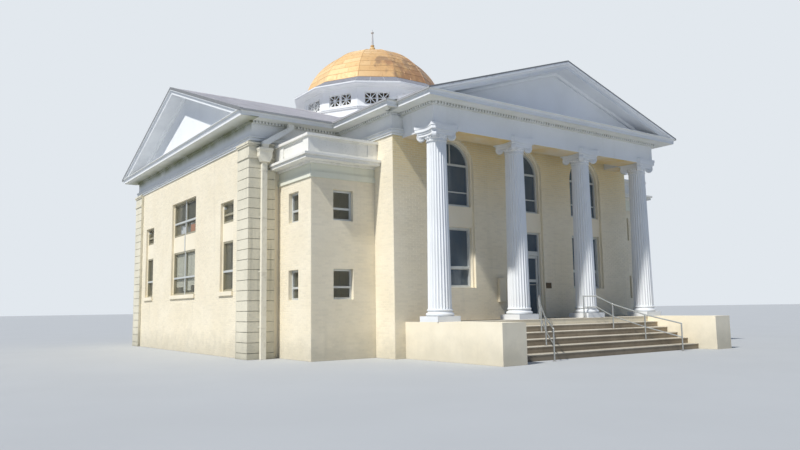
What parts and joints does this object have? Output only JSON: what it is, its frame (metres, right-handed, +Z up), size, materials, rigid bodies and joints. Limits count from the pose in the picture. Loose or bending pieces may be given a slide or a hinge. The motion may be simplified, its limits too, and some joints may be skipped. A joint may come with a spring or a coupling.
{
  "type": "town hall building",
  "caption": "Two storey town hall with a columned portico, wide entrance steps, two gabled wings and a twelve sided dome on a drum with grilles.",
  "frame": {"origin": "on the ground under the centre of the dome", "axes": "+Z up, -Y out of the front (portico) side, +X to the right of someone facing the front"},
  "size_m": [17.768, 22.518, 13.79],
  "materials": {
    "concrete": "matte",
    "brick_cream": "matte",
    "render_cream": "matte",
    "render_white": "matte",
    "roof_sheet": "satin",
    "painted_steel": "satin",
    "rail_steel": "satin",
    "gold_sheet": "satin",
    "frame_aluminium": "satin",
    "window_glass": "gloss"
  },
  "bodies": {
    "building": {"foundation": "concrete", "podium": "concrete", "cheek_walls": "render_cream", "entrance_steps": "concrete", "handrails": "rail_steel", "ground_floor": "concrete", "upper_floor": "concrete", "roof_deck": "roof_sheet", "front_walls": "brick_cream", "front_wall_over_door": "brick_cream", "wing_end_walls": "brick_cream", "back_wall": "brick_cream", "inner_walls": "brick_cream", "corner_walls": "brick_cream", "corner_parapets": "render_white", "quoins": "render_cream", "frieze": "render_white", "wing_cornices": "render_white", "arm_cornices": "render_white", "rainwater": "painted_steel", "column_bases": "render_white", "column_shafts": "render_white", "column_capitals": "render_white", "portico_beam": "render_white", "portico_ceiling": "render_white", "portico_cornice": "render_white", "portico_roof": "roof_sheet", "gable_walls": "render_white", "raking_cornices": "render_white", "wing_roofs": "roof_sheet", "arm_roofs": "roof_sheet", "drum_wall": "render_white", "drum_grilles": "painted_steel", "drum_cornice": "render_white", "dome": "gold_sheet", "finial": "gold_sheet", "front_window_frames": "frame_aluminium", "front_window_glass": "window_glass", "side_window_frames": "frame_aluminium", "side_window_glass": "window_glass", "door_frame": "frame_aluminium"},
    "door_leaf_left": {"door_leaf_left": "frame_aluminium", "door_glass_left": "window_glass"},
    "door_leaf_right": {"door_leaf_right": "frame_aluminium", "door_glass_right": "window_glass"}
  },
  "joints": [
    {"name": "door_left_swing", "type": "hinge", "parent": "building", "child": "door_leaf_left", "pos_m": [-0.64, -8.8, 1.028], "axis": [0, 0, 1], "range_deg": [0, 90]},
    {"name": "door_right_swing", "type": "hinge", "parent": "building", "child": "door_leaf_right", "pos_m": [0.64, -8.8, 1.028], "axis": [0, 0, -1], "range_deg": [0, 90]}
  ]
}
